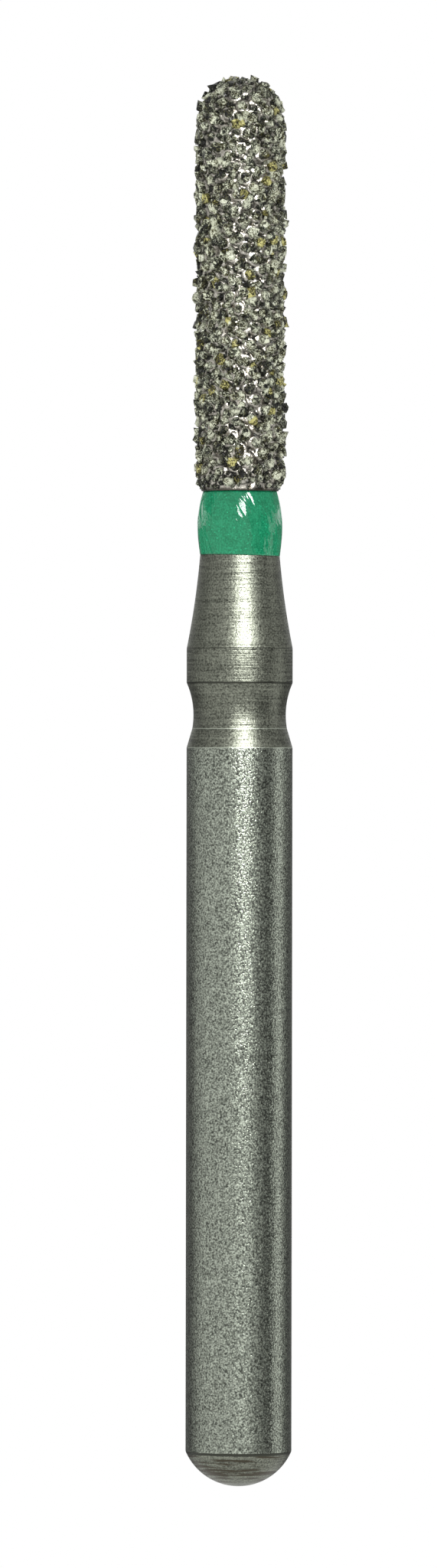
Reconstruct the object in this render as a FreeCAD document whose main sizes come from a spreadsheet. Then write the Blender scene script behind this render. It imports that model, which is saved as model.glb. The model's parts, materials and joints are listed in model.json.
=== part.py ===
# A friction-grip diamond bur for a dental handpiece, with a round-ended cylindrical head and coarse grit.
# A turned steel blank carries three things: a lacquered colour ring on a seat above the neck, a plated
# nickel bond over the core of the head, and the diamond grains that the bond holds.
# Lengths are in millimetres. The bur stands along +Z with the domed end of its shank at the origin.
import FreeCAD, Part
import math
import os
import random

import Sketcher

SIZES = {
    # The shank is the plain cylinder that the chuck grips, with a shallow dome at its free end.
    "shank_diameter": 1.6,
    "end_dome_height": 0.53,
    "grip_length": 10.61,
    # The retention groove has a straight lower flank, then one hollow arc up to the collar.
    "groove_depth": 0.085,
    "groove_flank_length": 0.29,
    "groove_arc_length": 0.69,
    "groove_arc_radius": 1.2,
    # The collar is a short stretch at full shank diameter, and the neck draws in above it.
    "collar_length": 0.52,
    "neck_length": 1.43,
    "neck_curve_radius": 12.5,
    "neck_edge_radius": 0.4,
    "rim_radius": 0.03,
    # The colour ring fills a cylindrical seat, flush with the neck at its foot, and swells to a belly.
    "ring_seat_diameter": 0.9,
    "ring_length": 0.94,
    "ring_foot_thickness": 0.148,
    "ring_belly_thickness": 0.191,
    "ring_belly_height": 0.4,
    "ring_top_thickness": 0.105,
    # The head is a bare steel core under a plated bond, both ending in a hemisphere.
    "core_diameter": 1.0,
    "head_length": 6.18,
    "bond_thickness": 0.085,
    "bond_foot_radius": 0.02,
    # Grains sit on the bond at about one pitch from each other, with a bare margin at the foot.
    "bare_foot": 0.06,
    "grain_pitch": 0.225,
    "grain_width": 0.24,
    "grain_rise": 0.1,
    "grain_gap": 0.008,
    "seat_gap": 0.001,
}

# How the grains vary: shares of the pitch, the grain width and the grain rise, and a slope for the crown.
GRIT_SEED = 141
YELLOW_SHARE = 0.09
GRAIN_SWAY = 0.07
WIDTH_RANGE = (0.8, 1.15)
RISE_RANGE = (0.6, 1.2)
FOOT_RANGE = (0.86, 1.0)
CROWN_RANGE = (0.7, 1.0)
CROWN_TILT = 0.4
GRAIN_SIDES = (3, 4, 4, 5)
GOLDEN_ANGLE = math.pi * (3 - math.sqrt(5))
HEXAGONAL_CELL = math.sqrt(3) / 2

doc = FreeCAD.newDocument("diamond_bur")


def make_sheet(sizes):
    """The driving dimensions, one to a row: a name, its value and the alias that everything else reads."""
    sheet = doc.addObject("Spreadsheet::Sheet", "Sizes")
    for row, (alias, value) in enumerate(sizes.items(), start=1):
        sheet.set(f"A{row}", alias.replace("_", " "))
        sheet.set(f"B{row}", str(value))
        sheet.setAlias(f"B{row}", alias)
    doc.recompute()
    return sheet


sheet = make_sheet(SIZES)

# Radii and heights that more than one piece uses, as expressions on the sheet.
SHANK_RADIUS = "Sizes.shank_diameter / 2"
GROOVE_FOOT = "Sizes.end_dome_height + Sizes.grip_length"
GROOVE_LINE = f"{GROOVE_FOOT} + Sizes.groove_flank_length"
COLLAR_FOOT = f"{GROOVE_LINE} + Sizes.groove_arc_length"
COLLAR_TOP = f"{COLLAR_FOOT} + Sizes.collar_length"
RING_FOOT = f"{COLLAR_TOP} + Sizes.neck_length"
RING_TOP = f"{RING_FOOT} + Sizes.ring_length"
SEAT_RADIUS = "Sizes.ring_seat_diameter / 2"
CORE_RADIUS = "Sizes.core_diameter / 2"
BOND_RADIUS = f"{CORE_RADIUS} + Sizes.bond_thickness"
DOME_CENTRE = f"Sizes.head_length - ({BOND_RADIUS})"


def size(expression):
    """The present value of an expression on the sheet."""
    return float(sheet.evalExpression(expression))


def origin_feature(body, role):
    """One of a body's own origin planes or axes."""
    return next(f for f in body.Origin.OriginFeatures if f.Role == role)


class Outline:
    """A closed half section on a body's XZ plane, drawn corner by corner, to be turned about Z.

    A corner is a radius and a height, each an expression on the sheet, or 0 on the axis or the base line.
    """

    def __init__(self, body, name):
        self.sketch = body.newObject("Sketcher::SketchObject", name)
        self.sketch.AttachmentSupport = [(origin_feature(body, "XZ_Plane"), "")]
        self.sketch.MapMode = "FlatFace"
        self.corners = []
        self.bends = {}

    def corner(self, radius, height):
        self.corners.append((radius, height))
        return self

    def bend(self, radius, hollow):
        """The edge from the last corner to the next is an arc, hollow or bulging outwards."""
        self.bends[len(self.corners) - 1] = (radius, hollow)
        return self

    def close(self):
        places = [self._place(corner) for corner in self.corners]
        following = [*range(1, len(places)), 0]
        for i, start in enumerate(places):
            end = places[following[i]]
            if i in self.bends:
                self._add_arc(start, end, *self.bends[i])
            else:
                self.sketch.addGeometry(Part.LineSegment(start, end), False)
        for i, corner in enumerate(self.corners):
            self._join(i, self._ends(i)[1], following[i], self._ends(following[i])[0])
            self._fix(i, self._ends(i)[0], corner)
        for i, (radius, _) in self.bends.items():
            if radius:
                self._dimension(f"bend_{i}", Sketcher.Constraint("Radius", i, size(radius)), radius)
            else:
                self.sketch.addConstraint(Sketcher.Constraint("PointOnObject", i, 3, -2))
        return self.sketch

    def _place(self, corner):
        radius, height = (size(value) if value else 0.0 for value in corner)
        return FreeCAD.Vector(radius, height, 0)

    def _ends(self, i):
        """Which end of edge i is its start and which its finish: an arc runs anticlockwise."""
        return (2, 1) if i in self.bends and self.bends[i][1] else (1, 2)

    def _add_arc(self, start, end, radius, hollow):
        """An arc with no radius of its own has its centre on the axis."""
        chord = end - start
        half = chord.Length / 2
        if radius:
            reach = math.sqrt(size(radius) ** 2 - half**2)
            side = FreeCAD.Vector(-chord.y, chord.x, 0).normalize() * (-reach if hollow else reach)
            centre = start + chord * 0.5 + side
        else:
            rise = (end.y**2 - start.y**2 + end.x**2 - start.x**2) / (2 * (end.y - start.y))
            centre = FreeCAD.Vector(0, rise, 0)
        spokes = [(point - centre) for point in ((end, start) if hollow else (start, end))]
        angles = [math.atan2(spoke.y, spoke.x) for spoke in spokes]
        circle = Part.Circle(centre, FreeCAD.Vector(0, 0, 1), spokes[0].Length)
        self.sketch.addGeometry(Part.ArcOfCircle(circle, *angles), False)

    def _join(self, first, first_end, second, second_end):
        self.sketch.addConstraint(
            Sketcher.Constraint("Coincident", first, first_end, second, second_end)
        )

    def _fix(self, i, end, corner):
        """A corner off both axes has two dimensions, and one on an axis lies on it."""
        place = self._place(corner)
        axes = (("DistanceX", "radius", place.x, -2), ("DistanceY", "height", place.y, -1))
        for (kind, word, value, axis), expression in zip(axes, corner):
            if expression:
                constraint = Sketcher.Constraint(kind, -1, 1, i, end, value)
                self._dimension(f"{word}_{i}", constraint, expression)
            else:
                self.sketch.addConstraint(Sketcher.Constraint("PointOnObject", i, end, axis))

    def _dimension(self, name, constraint, expression):
        index = self.sketch.addConstraint(constraint)
        self.sketch.renameConstraint(index, name)
        self.sketch.setExpression(f"Constraints.{name}", expression)


def turn(body, kind, name, sketch):
    """A full turn of an outline about Z: a Revolution adds material and a Groove takes it away."""
    feature = body.newObject(f"PartDesign::{kind}", name)
    feature.Profile = sketch
    feature.ReferenceAxis = (sketch, ["V_Axis"])
    feature.Angle = 360
    sketch.Visibility = False
    doc.recompute()
    return feature


def circles_at(feature, rims):
    """The names of the circular edges at the given radii and heights."""
    found = []
    for number, edge in enumerate(feature.Shape.Edges, start=1):
        if edge.Degenerated or not isinstance(edge.Curve, Part.Circle):
            continue
        curve = edge.Curve
        for radius, height in rims:
            if math.isclose(curve.Radius, size(radius), abs_tol=1e-5) and math.isclose(
                curve.Center.z, size(height), abs_tol=1e-5
            ):
                found.append(f"Edge{number}")
    return found


def round_rims(body, name, base, rims, radius):
    """Rounds the circular edges of a feature that lie at the given radii and heights."""
    fillet = body.newObject("PartDesign::Fillet", name)
    fillet.Refine = False
    fillet.Base = (base, circles_at(base, rims))
    fillet.setExpression("Radius", radius)
    doc.recompute()
    return fillet


def make_blank():
    """The steel blank, turned in one piece from the domed end of the shank to the tip of the core."""
    body = doc.addObject("PartDesign::Body", "SteelBlank")
    body.Label = "steel_blank"

    shank = Outline(body, "ShankOutline")
    shank.corner(0, 0).bend(None, hollow=False)
    shank.corner(SHANK_RADIUS, "Sizes.end_dome_height")
    shank.corner(SHANK_RADIUS, COLLAR_TOP)
    shank.corner(0, COLLAR_TOP)
    turn(body, "Revolution", "Shank", shank.close())

    core_dome = f"{RING_TOP} + {DOME_CENTRE}"
    neck = Outline(body, "NeckOutline")
    neck.corner(0, COLLAR_TOP)
    neck.corner(SHANK_RADIUS, COLLAR_TOP).bend("Sizes.neck_curve_radius", hollow=True)
    neck.corner(f"{SEAT_RADIUS} + Sizes.ring_foot_thickness", RING_FOOT)
    neck.corner(SEAT_RADIUS, RING_FOOT)
    neck.corner(SEAT_RADIUS, RING_TOP)
    neck.corner(CORE_RADIUS, RING_TOP)
    neck.corner(CORE_RADIUS, core_dome).bend(None, hollow=False)
    neck.corner(0, f"{core_dome} + {CORE_RADIUS}")
    turn(body, "Revolution", "NeckAndCore", neck.close())

    clear_of_shank = f"{SHANK_RADIUS} + Sizes.groove_depth"
    groove = Outline(body, "GrooveOutline")
    groove.corner(clear_of_shank, GROOVE_FOOT)
    groove.corner(SHANK_RADIUS, GROOVE_FOOT)
    groove.corner(f"{SHANK_RADIUS} - Sizes.groove_depth", GROOVE_LINE)
    groove.bend("Sizes.groove_arc_radius", hollow=True)
    groove.corner(SHANK_RADIUS, COLLAR_FOOT)
    groove.corner(clear_of_shank, COLLAR_FOOT)
    cut = turn(body, "Groove", "RetentionGroove", groove.close())

    neck_edge = round_rims(
        body, "NeckEdge", cut, [(SHANK_RADIUS, COLLAR_TOP)], "Sizes.neck_edge_radius"
    )
    rims = [
        (SHANK_RADIUS, "Sizes.end_dome_height"),
        (SHANK_RADIUS, GROOVE_FOOT),
        (SHANK_RADIUS, COLLAR_FOOT),
    ]
    round_rims(body, "Rims", neck_edge, rims, "Sizes.rim_radius")
    return body


def upright_arc(height, depth):
    """Radius of an arc that starts upright and falls back by the given depth over the given height."""
    return f"(({height})^2 + ({depth})^2) / (2 * ({depth}))"


def make_ring():
    """The lacquer band that codes the grit, built from its own foot and set on the blank's seat."""
    body = doc.addObject("PartDesign::Body", "ColourRing")
    body.Label = "colour_ring"
    belly = "Sizes.ring_belly_thickness"
    below = upright_arc("Sizes.ring_belly_height", f"{belly} - Sizes.ring_foot_thickness")
    above = upright_arc(
        "Sizes.ring_length - Sizes.ring_belly_height", f"{belly} - Sizes.ring_top_thickness"
    )
    band = Outline(body, "BandOutline")
    band.corner(SEAT_RADIUS, 0)
    band.corner(f"{SEAT_RADIUS} + Sizes.ring_foot_thickness", 0).bend(below, hollow=False)
    band.corner(f"{SEAT_RADIUS} + {belly}", "Sizes.ring_belly_height").bend(above, hollow=False)
    band.corner(f"{SEAT_RADIUS} + Sizes.ring_top_thickness", "Sizes.ring_length")
    band.corner(SEAT_RADIUS, "Sizes.ring_length")
    turn(body, "Revolution", "Band", band.close())
    body.setExpression("Placement.Base.z", RING_FOOT)
    return body


def make_bond():
    """The plated nickel, a sleeve over the core that closes over its tip, with a softened foot."""
    body = doc.addObject("PartDesign::Body", "NickelBond")
    body.Label = "nickel_bond"
    sleeve = Outline(body, "SleeveOutline")
    sleeve.corner(CORE_RADIUS, 0)
    sleeve.corner(BOND_RADIUS, 0)
    sleeve.corner(BOND_RADIUS, DOME_CENTRE).bend(None, hollow=False)
    sleeve.corner(0, "Sizes.head_length")
    sleeve.corner(0, "Sizes.head_length - Sizes.bond_thickness").bend(None, hollow=True)
    sleeve.corner(CORE_RADIUS, DOME_CENTRE)
    plated = turn(body, "Revolution", "Sleeve", sleeve.close())
    round_rims(body, "Foot", plated, [(BOND_RADIUS, "0")], "Sizes.bond_foot_radius")
    body.setExpression("Placement.Base.z", RING_TOP)
    return body


class Seat:
    """A place on the bond where one grain sits: a point, the way out and the two ways across."""

    def __init__(self, height, angle):
        radius = size(BOND_RADIUS)
        above_centre = max(height - size(DOME_CENTRE), 0.0)
        around = FreeCAD.Vector(math.cos(angle), math.sin(angle), 0)
        ring = math.sqrt(max(radius**2 - above_centre**2, 0.0))
        self.out = (around * ring + FreeCAD.Vector(0, 0, above_centre)) / radius
        self.across = FreeCAD.Vector(-math.sin(angle), math.cos(angle), 0)
        self.along = self.out.cross(self.across)
        axis_point = FreeCAD.Vector(0, 0, height - above_centre)
        self.point = axis_point + self.out * (radius + size("Sizes.seat_gap"))

    def place(self, x, y, z):
        return self.point + self.across * x + self.along * y + self.out * z


def grit_seats(chance):
    """Seats spread evenly over the cylinder and the dome on a golden spiral, each a little off its mark.

    Equal steps of height cover equal areas of a cylinder and of the hemisphere that closes it.
    """
    radius = size(BOND_RADIUS)
    pitch = size("Sizes.grain_pitch")
    step = pitch**2 * HEXAGONAL_CELL / (2 * math.pi * radius)
    lowest = size("Sizes.bare_foot + Sizes.grain_width / 2")
    highest = size("Sizes.head_length") - step / 4
    sway = GRAIN_SWAY * pitch
    seats = []
    for i in range(int((highest - lowest) / step)):
        height = lowest + (i + 0.5) * step
        above_centre = max(height - size(DOME_CENTRE), 0.0)
        ring = math.sqrt(max(radius**2 - above_centre**2, step * radius))
        height += chance.uniform(-sway, sway) * ring / radius
        angle = i * GOLDEN_ANGLE + chance.uniform(-sway, sway) / ring
        seats.append(Seat(min(max(height, lowest), highest), angle))
    return seats


def neighbours(seats):
    """For each seat, the seats within two pitches of it and how far off they are."""
    reach = size("2 * Sizes.grain_pitch")
    near = [[] for _ in seats]
    for i, seat in enumerate(seats):
        for j in range(i + 1, len(seats)):
            apart = seat.point.distanceToPoint(seats[j].point)
            if apart < reach:
                near[i].append((j, apart))
                near[j].append((i, apart))
    return near


def grain_reaches(seats, chance):
    """Half the width of each grain: mixed sizes, each as large as it may be without touching another."""
    gap = size("Sizes.grain_gap")
    near = neighbours(seats)
    reaches = [(min(apart for _, apart in around) - gap) / 2 for around in near]
    for i, around in enumerate(near):
        room = min(apart - gap - reaches[j] for j, apart in around)
        reaches[i] = min(size("Sizes.grain_width") / 2 * chance.uniform(*WIDTH_RANGE), room)
    return reaches


def grain(seat, reach, chance):
    """One crystal: a flat foot on the seat, a tilted crown turned half a side, and facets between them."""
    sides = chance.choice(GRAIN_SIDES)
    rise = size("Sizes.grain_rise") * chance.uniform(*RISE_RANGE)
    turned = chance.uniform(0, 2 * math.pi)
    tilt_x = chance.uniform(-CROWN_TILT, CROWN_TILT)
    tilt_y = chance.uniform(-CROWN_TILT, CROWN_TILT)
    foot, crown = [], []
    for i in range(sides):
        angle = turned + 2 * math.pi * i / sides
        spread = reach * chance.uniform(*FOOT_RANGE)
        foot.append(seat.place(spread * math.cos(angle), spread * math.sin(angle), 0))
        angle += math.pi / sides
        spread = reach * chance.uniform(*CROWN_RANGE)
        x, y = spread * math.cos(angle), spread * math.sin(angle)
        crown.append(seat.place(x, y, rise + tilt_x * x + tilt_y * y))
    facets = [foot, crown]
    for i in range(sides):
        following = (i + 1) % sides
        facets.append([foot[i], foot[following], crown[i]])
        facets.append([crown[i], crown[following], foot[following]])
    faces = [Part.Face(Part.makePolygon(corners + corners[:1])) for corners in facets]
    return Part.Solid(Part.Shell(faces))


def make_grit():
    """Every grain on the bond, sorted into the clear grey crystals and the yellow ones among them."""
    chance = random.Random(GRIT_SEED)
    seats = grit_seats(chance)
    sorts = {"clear_grains": [], "yellow_grains": []}
    for seat, reach in zip(seats, grain_reaches(seats, chance)):
        sort = "yellow_grains" if chance.random() < YELLOW_SHARE else "clear_grains"
        sorts[sort].append(grain(seat, reach, chance))
    nodes = []
    for label, solids in sorts.items():
        feature = doc.addObject("Part::Feature", label.title().replace("_", ""))
        feature.Label = label
        feature.Shape = Part.makeCompound(solids)
        feature.setExpression("Placement.Base.z", RING_TOP)
        nodes.append(feature)
    return nodes


def check(nodes):
    """Stops the build if any object failed or any piece isn't sound."""
    for thing in doc.Objects:
        if "Invalid" in thing.State or "Error" in thing.State:
            raise RuntimeError(f"{thing.Label} did not build: {thing.State}")
    for node in nodes:
        if node.Shape.isNull() or not node.Shape.isValid() or not node.Shape.Solids:
            raise RuntimeError(f"{node.Label} is not a sound solid")


nodes = [make_blank(), make_ring(), make_bond(), *make_grit()]
doc.recompute()
check(nodes)
os.makedirs("parts", exist_ok=True)
for node in nodes:
    node.Shape.exportStep(f"parts/{node.Label}.step")
    print(node.Label, len(node.Shape.Solids), "solids", round(node.Shape.Volume, 4), "mm3")
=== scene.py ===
import json
import math

import bmesh
import bpy
from mathutils import Matrix, Vector, kdtree, noise


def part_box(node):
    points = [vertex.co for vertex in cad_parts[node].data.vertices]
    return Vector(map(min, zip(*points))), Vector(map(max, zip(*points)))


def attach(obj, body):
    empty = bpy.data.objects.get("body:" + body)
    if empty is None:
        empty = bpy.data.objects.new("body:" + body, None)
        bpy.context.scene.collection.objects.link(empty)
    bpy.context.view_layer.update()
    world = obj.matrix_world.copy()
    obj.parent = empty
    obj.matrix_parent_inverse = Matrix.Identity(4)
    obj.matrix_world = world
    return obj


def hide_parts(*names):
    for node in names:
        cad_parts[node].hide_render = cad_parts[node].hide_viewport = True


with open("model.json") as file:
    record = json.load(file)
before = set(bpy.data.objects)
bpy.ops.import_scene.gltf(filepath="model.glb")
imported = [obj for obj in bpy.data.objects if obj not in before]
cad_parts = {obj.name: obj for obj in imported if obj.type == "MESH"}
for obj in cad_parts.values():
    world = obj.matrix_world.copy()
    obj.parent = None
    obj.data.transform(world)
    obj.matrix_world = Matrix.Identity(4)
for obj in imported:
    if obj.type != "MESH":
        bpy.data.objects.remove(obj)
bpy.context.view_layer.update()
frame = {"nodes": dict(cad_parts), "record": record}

bl_info = {
    "name": "Diamond bur",
    "version": (1, 0, 0),
    "blender": (4, 5, 0),
    "location": "3D View > Sidebar > Bur",
    "description": "Builds a friction-grip diamond bur, its finishes and its studio",
    "category": "Object",
}

MM = 0.001
ON_AXIS = 1e-6 * MM
BODY = "root"
SHANK = next(mount for mount in frame["record"]["mounts"] if mount["name"] == "shank")
SHANK_RADIUS = SHANK["dims"]["r_mm"] * MM
RING_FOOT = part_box("colour_ring")[0].z
RING_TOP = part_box("colour_ring")[1].z
HEAD_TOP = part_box("nickel_bond")[1].z


def length(name, description, millimetres):
    """A size that a user can change, in Blender's own units."""
    return bpy.props.FloatProperty(
        name=name, description=description, default=millimetres * MM, unit="LENGTH", precision=6
    )


def colour(name, description, value):
    return bpy.props.FloatVectorProperty(
        name=name, description=description, default=value, subtype="COLOR", min=0.0, max=1.0, size=3
    )


def number(name, description, value):
    return bpy.props.FloatProperty(name=name, description=description, default=value)


class BurSizes(bpy.types.PropertyGroup):
    end_dome_height: length("End dome", "Height of the domed end of the shank", 0.53)
    grip_length: length("Grip", "Length of the plain shank above its dome", 10.61)
    groove_flank: length("Groove flank", "Height of the straight lower flank of the retention groove", 0.29)
    groove_depth: length("Groove depth", "Depth of the groove where its flank meets its hollow", 0.085)
    groove_hollow: length("Groove hollow", "Height of the hollow part of the groove", 0.69)
    groove_radius: length("Groove radius", "Radius of the hollow of the groove", 1.2)
    collar_height: length("Collar", "Height of the collar above the groove", 0.52)
    neck_radius: length("Neck curve", "Radius of the hollow curve of the neck", 12.5)
    seat_radius: length("Ring seat", "Radius of the seat under the colour ring", 0.45)
    ring_foot_wall: length("Ring foot", "Thickness of the ring at its foot", 0.148)
    ring_belly_wall: length("Ring belly", "Thickness of the ring at its belly", 0.191)
    ring_belly_height: length("Belly height", "Height of the belly above the foot of the ring", 0.4)
    ring_top_wall: length("Ring top", "Thickness of the ring at its top", 0.105)
    core_radius: length("Core", "Radius of the bare core inside the head", 0.5)
    bond_wall: length("Bond", "Thickness of the plated nickel", 0.085)
    rim: length("Rims", "How far the turned rims are eased", 0.03)


class BurFinishes(bpy.types.PropertyGroup):
    steel: colour("Ground steel", "Sandy ground steel of the shank", (0.27, 0.295, 0.247))
    turned_steel: colour("Turned steel", "Steel of the groove, collar, neck and dome", (0.14, 0.148, 0.12))
    turned_stain: colour("Turned stain", "Brownish streaks on the domed end", (0.062, 0.054, 0.038))
    nickel: colour("Nickel", "Plated nickel of the bond", (0.57, 0.545, 0.48))
    nickel_stain: colour("Nickel stain", "Brownish patches of the nickel", (0.21, 0.185, 0.14))
    lacquer: colour("Lacquer", "Green lacquer of the ring", (0.003, 0.23, 0.1))
    lacquer_light: colour("Lacquer light", "Paler patches of the lacquer", (0.015, 0.32, 0.15))
    clear: colour("Clear diamond", "Body of the clear grains", (0.09, 0.102, 0.064))
    clear_light: colour("Clear diamond light", "Cloudy flaws of the clear grains", (0.8, 0.83, 0.64))
    olive: colour("Olive diamond", "Olive tinge of some grains", (0.13, 0.12, 0.04))
    yellow: colour("Yellow diamond", "Body of the yellow grains", (0.17, 0.155, 0.03))
    yellow_light: colour("Yellow diamond light", "Cloudy flaws of the yellow grains", (0.72, 0.68, 0.26))


class BurStudio(bpy.types.PropertyGroup):
    distance: length("Distance", "How far the camera stands from the axis", 180.0)
    frame_height: length("Frame height", "Height that the camera takes in at the axis", 23.66)
    aim_x: length("Aim across", "Where the camera looks, left or right of the axis", -0.317)
    aim_z: length("Aim height", "Height at which the camera looks", 10.594)
    lean: number("Lean", "How far the bur leans to the right in the picture, in degrees", 0.095)
    floor_drop: length("Floor", "How far the floor lies below the domed end", 30.0)
    ambient: number("Ambient", "Level of the light from all round", 0.55)
    panel_radius: length("Panel radius", "How far the reflecting panels stand from the axis", 70.0)
    from_below: number("Light from below", "Level of the light that the downward faces mirror", 0.95)
    from_above: number("Light from above", "Level of the light that the upward faces mirror", 0.35)
    ceiling: length("Ceiling", "Height of the disc that the upward faces mirror", 86.0)


def circle_through(start, end, radius, hollow):
    """Centre of the arc from start to end in the half section; a hollow arc has it outside the metal."""
    chord = end - start
    reach = math.sqrt(radius**2 - (chord.length / 2) ** 2)
    side = Vector((-chord.y, chord.x)).normalized() * (-reach if hollow else reach)
    return (start + end) / 2 + side


def arc(start, end, radius, hollow, steps):
    """Points along an arc from start to end, both included."""
    start, end = Vector(start), Vector(end)
    centre = circle_through(start, end, radius, hollow)
    first, last = start - centre, end - centre
    turn = first.angle_signed(last)
    points = []
    for i in range(steps + 1):
        angle = -turn * i / steps
        spoke = Vector(
            (
                first.x * math.cos(angle) - first.y * math.sin(angle),
                first.x * math.sin(angle) + first.y * math.cos(angle),
            )
        )
        points.append(centre + spoke)
    return points


def upright_radius(crest, end):
    """Radius of the arc that stands upright at its crest and falls back to the given end."""
    rise, fall = end.y - crest.y, crest.x - end.x
    return (rise**2 + fall**2) / (2 * fall)


def dome(radius, height, top, steps, upwards=True):
    """Points of a spherical cap of the given rim radius and height, from its rim to its pole."""
    sphere = (radius**2 + height**2) / (2 * height)
    spread = math.asin(min(radius / sphere, 1.0))
    if height > sphere:
        spread = math.pi - spread
    sign = 1 if upwards else -1
    points = []
    for i in range(steps + 1):
        angle = spread * (1 - i / steps)
        points.append(Vector((sphere * math.sin(angle), top - sign * sphere * (1 - math.cos(angle)))))
    return points


def eased(before, corner, after, reach, steps=4):
    """A corner of the section rounded over a short reach on each side."""
    corner = Vector(corner)
    first = corner + (Vector(before) - corner).normalized() * reach
    last = corner + (Vector(after) - corner).normalized() * reach
    points = []
    for i in range(steps + 1):
        t = i / steps
        points.append(first * (1 - t) ** 2 + corner * 2 * t * (1 - t) + last * t**2)
    return points


def spaced(points, spacing):
    """The same outline with no stretch between points longer than the spacing."""
    result = [points[0]]
    for start, end in zip(points, points[1:]):
        parts = max(1, math.ceil((end - start).length / spacing))
        result += [start.lerp(end, i / parts) for i in range(1, parts + 1)]
    return result


def turned(name, section, around):
    """A closed mesh turned about Z from a half section that starts and ends on the axis or on itself."""
    verts, rings = [], []
    for point in section:
        if point.x < ON_AXIS:
            rings.append([len(verts)])
            verts.append((0, 0, point.y))
            continue
        rings.append(list(range(len(verts), len(verts) + around)))
        for k in range(around):
            angle = 2 * math.pi * k / around
            verts.append((point.x * math.cos(angle), point.x * math.sin(angle), point.y))
    faces = []
    for lower, upper in zip(rings, rings[1:]):
        for k in range(around):
            following = (k + 1) % around
            if len(lower) == 1:
                faces.append((lower[0], upper[following], upper[k]))
            elif len(upper) == 1:
                faces.append((lower[k], lower[following], upper[0]))
            else:
                faces.append((lower[k], lower[following], upper[following], upper[k]))
    mesh = bpy.data.meshes.new(name)
    mesh.from_pydata(verts, [], faces)
    mesh.validate()
    return mesh


def tidy_normals(mesh):
    """Merges doubles and turns every face outwards."""
    shell = bmesh.new()
    shell.from_mesh(mesh)
    bmesh.ops.remove_doubles(shell, verts=shell.verts, dist=0.00001 * MM)
    bmesh.ops.recalc_face_normals(shell, faces=shell.faces)
    shell.to_mesh(mesh)
    shell.free()


def piece(name, mesh, material, smooth=True, replaces=None):
    """Puts a mesh in the scene as a piece of the bur that rides on its body."""
    thing = bpy.data.objects.new(name, mesh)
    bpy.context.scene.collection.objects.link(thing)
    mesh.materials.clear()
    mesh.materials.append(material)
    mesh.polygons.foreach_set("use_smooth", [smooth] * len(mesh.polygons))
    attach(thing, BODY)
    if replaces:
        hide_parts(replaces)


class NodeBoard:
    """Adds nodes to a tree in rows, and fills their inputs with links or plain values."""

    IN_A_ROW = 8
    ACROSS, DOWN = 220, -320

    def __init__(self, tree):
        self.tree = tree
        self.count = 0

    def add(self, kind, inputs=None, **settings):
        node = self.tree.nodes.new(kind)
        row, column = divmod(self.count, self.IN_A_ROW)
        node.location = (column * self.ACROSS, row * self.DOWN)
        self.count += 1
        for key, value in settings.items():
            setattr(node, key, value)
        for key, value in (inputs or {}).items():
            self.fill(node.inputs[key], value)
        return node

    def fill(self, target, value):
        """Links a socket to an input, or writes a plain value there."""
        if isinstance(value, bpy.types.NodeSocket):
            self.tree.links.new(value, target)
        else:
            target.default_value = value

    def math(self, operation, *values, **settings):
        node = self.add("ShaderNodeMath", dict(enumerate(values)), operation=operation, **settings)
        return node.outputs[0]

    def vector(self, operation, *values):
        return self.add("ShaderNodeVectorMath", dict(enumerate(values)), operation=operation).outputs[0]

    def noise(self, place, scale, detail=2.0, distortion=0.0):
        inputs = {"Vector": place, "Scale": scale, "Detail": detail, "Distortion": distortion}
        return self.add("ShaderNodeTexNoise", inputs).outputs[0]

    def parts(self, place):
        """The X, the Y and the Z of a place."""
        return self.add("ShaderNodeSeparateXYZ", {0: place}).outputs

    def joined(self, x, y, z=0.0):
        return self.add("ShaderNodeCombineXYZ", {0: x, 1: y, 2: z}).outputs[0]

    def mix(self, factor, first, second):
        """A value between two, by a factor."""
        return self.add("ShaderNodeMix", {0: factor, 2: first, 3: second}).outputs[0]

    def tint(self, factor, first, second):
        """A colour between two, by a factor. Each is a socket, or its red, green and blue."""
        first, second = (c if isinstance(c, bpy.types.NodeSocket) else (*c, 1) for c in (first, second))
        return self.add("ShaderNodeMix", {0: factor, 6: first, 7: second}, data_type="RGBA").outputs[2]

    def ranged(self, source, low, high, from_low=0.3, from_high=0.7):
        """Stretches a value to run from low to high."""
        inputs = {"Value": source, "From Min": from_low, "From Max": from_high}
        inputs |= {"To Min": low, "To Max": high}
        return self.add("ShaderNodeMapRange", inputs).outputs[0]

    def bump(self, height, depth):
        """A normal from a height that stands for the given depth in metres."""
        return self.add("ShaderNodeBump", {"Height": height, "Distance": depth}).outputs[0]


def shader_group(name, inputs, outputs):
    """An empty node group with named sockets: each input is a kind and a default."""
    tree = bpy.data.node_groups.new(name, "ShaderNodeTree")
    for label, (kind, default) in inputs.items():
        socket = tree.interface.new_socket(label, in_out="INPUT", socket_type=f"NodeSocket{kind}")
        if default is not None:
            socket.default_value = default
    for label, kind in outputs.items():
        tree.interface.new_socket(label, in_out="OUTPUT", socket_type=f"NodeSocket{kind}")
    board = NodeBoard(tree)
    return board, board.add("NodeGroupInput").outputs, board.add("NodeGroupOutput").inputs


def build_mottle(name):
    """Soft patches and fine grain together: a value about 0.5 that varies over the surface."""
    board, given, result = shader_group(
        name,
        {
            "Vector": ("Vector", None),
            "Patch": ("Float", 3000.0),
            "Grain": ("Float", 40000.0),
            "Share": ("Float", 0.6),
        },
        {"Value": "Float", "Fine": "Float"},
    )
    patch = board.noise(given["Vector"], given["Patch"], detail=3.0)
    grain = board.noise(given["Vector"], given["Grain"])
    board.fill(result["Value"], board.mix(given["Share"], patch, grain))
    board.fill(result["Fine"], grain)
    return board.tree


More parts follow.
